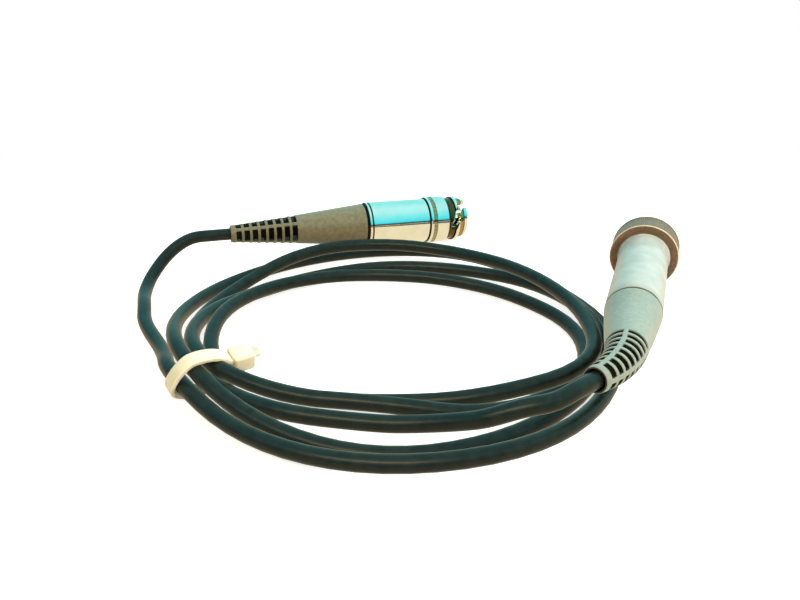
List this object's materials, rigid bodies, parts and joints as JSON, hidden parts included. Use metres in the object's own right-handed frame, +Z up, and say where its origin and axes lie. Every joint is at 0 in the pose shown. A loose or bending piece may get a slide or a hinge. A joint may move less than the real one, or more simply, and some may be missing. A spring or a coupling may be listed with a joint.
{
  "type": "oscilloscope probe",
  "caption": "Passive oscilloscope probe with finger guard, spring tip and ribbed strain reliefs, its thin cable coiled and tied, ending in a bayonet coaxial plug.",
  "frame": {"origin": "bottom centre of the probe head's bounding box, on the table the part lies on", "axes": "+Y runs along the head from its strain relief to its tip, +Z is up from the table, +X is to the head's right seen from behind it"},
  "size_m": [0.1371, 0.1313, 0.018],
  "materials": {
    "cable": "satin flexible PVC",
    "tie": "natural translucent nylon",
    "boot": "satin moulded elastomer",
    "crimp": "crimped steel",
    "handle": "satin moulded ABS",
    "film": "clear glossy film",
    "guard": "satin moulded ABS",
    "nickel": "bright nickel plate",
    "insulator": "white PTFE",
    "brass": "turned brass",
    "steel": "spring steel",
    "ceramic": "glazed ceramic",
    "copper": "bare copper",
    "board": "solder mask on glass-epoxy",
    "trimmer": "moulded ceramic base",
    "chip": "coated chip",
    "gasket": "orange silicone rubber",
    "gold": "gold plate"
  },
  "bodies": {
    "root": {"head_boot": "boot", "head_cable_end": "cable", "head_ferrule": "crimp", "head_body": "handle", "clear_sleeve": "film", "nose_cone": "guard", "ground_barrel": "nickel", "tip_insulator": "insulator", "tip_holder": "brass", "tip_spring": "steel", "shield_tube": "brass", "head_resistor": "ceramic", "head_capacitor": "ceramic", "head_cable_core": "copper", "plug_boot": "boot", "plug_cable_end": "cable", "plug_ferrule": "crimp", "plug_housing": "nickel", "plug_cable_core": "copper", "comp_board": "board", "trimmer_base": "trimmer", "comp_resistor": "chip", "plug_body": "nickel", "outer_contact": "nickel", "plug_gasket": "gasket", "plug_insulator": "insulator", "centre_pin": "gold", "spring_washer": "steel", "cable_coil": "cable", "cable_lead": "cable", "cable_tail": "cable", "cable_tie": "tie"},
    "nut_float": {"thrust_washer": "steel"},
    "nut": {"coupling_nut": "nickel"},
    "trimmer": {"trimmer_screw": "brass"},
    "guard": {"guard_ring": "guard"},
    "needle": {"tip_needle": "steel"}
  },
  "joints": [
    {"name": "coupling_float", "type": "slide", "parent": "root", "child": "nut_float", "axis": [0.765, 0.643, -0.0366], "range_m": [0, 0.0005], "stiffness_N_per_m": 500, "deforming": ["spring_washer"]},
    {"name": "coupling_turn", "type": "hinge", "parent": "nut_float", "child": "nut", "pos_m": [-0.06318, 0.04621, 0.00723], "axis": [0.765, 0.643, -0.0366], "continuous": true},
    {"name": "trimmer_turn", "type": "hinge", "parent": "root", "child": "trimmer", "pos_m": [-0.07489, 0.03637, 0.00779], "axis": [-0.6435, 0.7655, 0], "continuous": true},
    {"name": "guard_turn", "type": "hinge", "parent": "root", "child": "guard", "pos_m": [0, 0.0335, 0.009], "axis": [0, 1, 0], "continuous": true},
    {"name": "needle_press", "type": "slide", "parent": "root", "child": "needle", "axis": [0, 1, 0], "range_m": [-0.001, 0], "stiffness_N_per_m": 200, "deforming": ["tip_spring"]}
  ]
}
